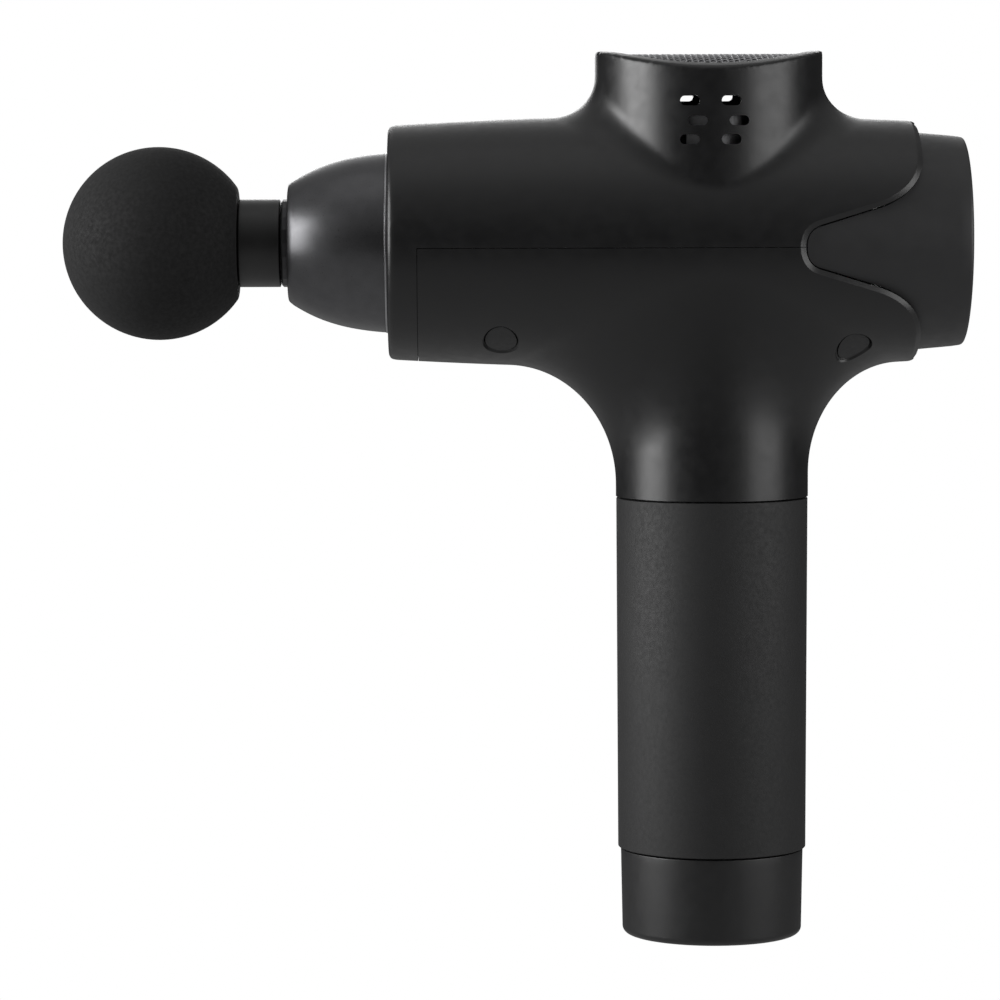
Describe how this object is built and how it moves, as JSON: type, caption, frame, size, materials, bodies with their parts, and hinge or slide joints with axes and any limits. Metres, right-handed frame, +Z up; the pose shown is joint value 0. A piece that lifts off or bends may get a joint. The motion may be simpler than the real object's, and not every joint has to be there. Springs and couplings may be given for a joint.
{
  "type": "massage gun",
  "caption": "T-shaped percussion massage gun: ball head on a crank-driven plunger, vented motor tower, display at the rear and a cylindrical battery handle.",
  "frame": {"origin": "centre of the base's bottom face", "axes": "+Z up the handle; -X towards the ball head and +X towards the display, along the barrel; +Y to the right of someone holding the handle and facing the head"},
  "size_m": [0.2325, 0.0648, 0.2295],
  "materials": {
    "casing_black": "satin",
    "cover_black": "satin",
    "base_black": "satin",
    "grip_rubber": "matte",
    "head_foam": "matte",
    "stem_plastic": "satin",
    "bell_alloy": "satin",
    "plunger_alloy": "satin",
    "bright_steel": "satin",
    "cast_alloy": "satin",
    "motor_can": "satin",
    "copper_wire": "satin",
    "magnet": "satin",
    "bushing_polymer": "satin",
    "grille_steel": "satin",
    "seal_rubber": "matte",
    "display_glass": "gloss",
    "circuit_board": "satin",
    "inner_plastic": "matte",
    "cell_wrap": "satin",
    "contact_block": "satin",
    "lead_sleeve": "satin",
    "switch_knob": "satin",
    "plug_rubber": "matte"
  },
  "bodies": {
    "housing": {"upper_casing": "casing_black", "lower_casing": "casing_black", "rear_cover": "cover_black", "display_lens": "display_glass", "display_module": "circuit_board", "controller_board": "circuit_board", "top_grille": "grille_steel", "grille_frame": "inner_plastic", "nozzle_bell": "bell_alloy", "front_seal": "seal_rubber", "guide_bushing": "bushing_polymer", "drive_frame": "cast_alloy", "front_damper": "seal_rubber", "motor_mount": "cast_alloy", "motor_bearing_lower": "bright_steel", "motor_bearing_upper": "bright_steel", "stator_core": "bright_steel", "winding_upper": "copper_wire", "winding_lower": "copper_wire", "power_lead": "lead_sleeve", "motor_lead": "lead_sleeve", "neck_bulkhead": "inner_plastic", "battery_socket": "inner_plastic", "screw_plug_1": "plug_rubber", "screw_plug_2": "plug_rubber", "screw_plug_3": "plug_rubber", "screw_plug_4": "plug_rubber", "casing_screw_1": "bright_steel", "casing_screw_2": "bright_steel", "casing_screw_3": "bright_steel", "casing_screw_4": "bright_steel"},
    "rotor": {"rotor_can": "motor_can", "magnet_ring": "magnet", "motor_shaft": "bright_steel", "cooling_fan": "inner_plastic", "crank_disc": "cast_alloy", "crank_pin": "bright_steel"},
    "rod": {"connecting_rod": "cast_alloy", "rod_bearing": "bright_steel"},
    "plunger": {"plunger": "plunger_alloy", "wrist_pin": "bright_steel"},
    "head": {"head_ball": "head_foam", "head_stem": "stem_plastic", "o_ring_front": "seal_rubber", "o_ring_rear": "seal_rubber"},
    "battery_handle": {"battery_plug": "contact_block", "plug_plate": "inner_plastic", "battery_tube": "inner_plastic", "grip_sleeve": "grip_rubber", "cell_holder_top": "inner_plastic", "cell_holder_bottom": "inner_plastic", "bms_board": "circuit_board", "base_cap": "base_black", "charge_socket": "bright_steel", "switch_body": "inner_plastic", "battery_cell_1": "cell_wrap", "battery_cell_2": "cell_wrap", "battery_cell_3": "cell_wrap"},
    "switch": {"power_switch": "switch_knob"}
  },
  "joints": [
    {"name": "crank_turn", "type": "hinge", "parent": "housing", "child": "rotor", "pos_m": [-0.0008, 0, 0.18], "axis": [0, 0, 1], "range_deg": [-90, 90]},
    {"name": "rod_pivot", "type": "hinge", "parent": "rotor", "child": "rod", "pos_m": [-0.0008, 0.005, 0.18], "axis": [0, 0, 1], "range_deg": [-90, 90]},
    {"name": "plunger_slide", "type": "slide", "parent": "housing", "child": "plunger", "axis": [-1, 0, 0], "range_m": [-0.00501, 0.00501]},
    {"name": "head_release", "type": "slide", "parent": "plunger", "child": "head", "axis": [-1, 0, 0], "range_m": [0, 0.035]},
    {"name": "handle_release", "type": "slide", "parent": "housing", "child": "battery_handle", "axis": [0, 0, -1], "range_m": [0, 0.03]},
    {"name": "power_switch_slide", "type": "slide", "parent": "battery_handle", "child": "switch", "axis": [0, 1, 0], "range_m": [0, 0.004]}
  ],
  "couplings": [
    {"joint": "rod_pivot", "follows": "crank_turn", "ratio": -1},
    {"joint": "plunger_slide", "follows": "crank_turn", "m_per_rad": 0.003183}
  ]
}
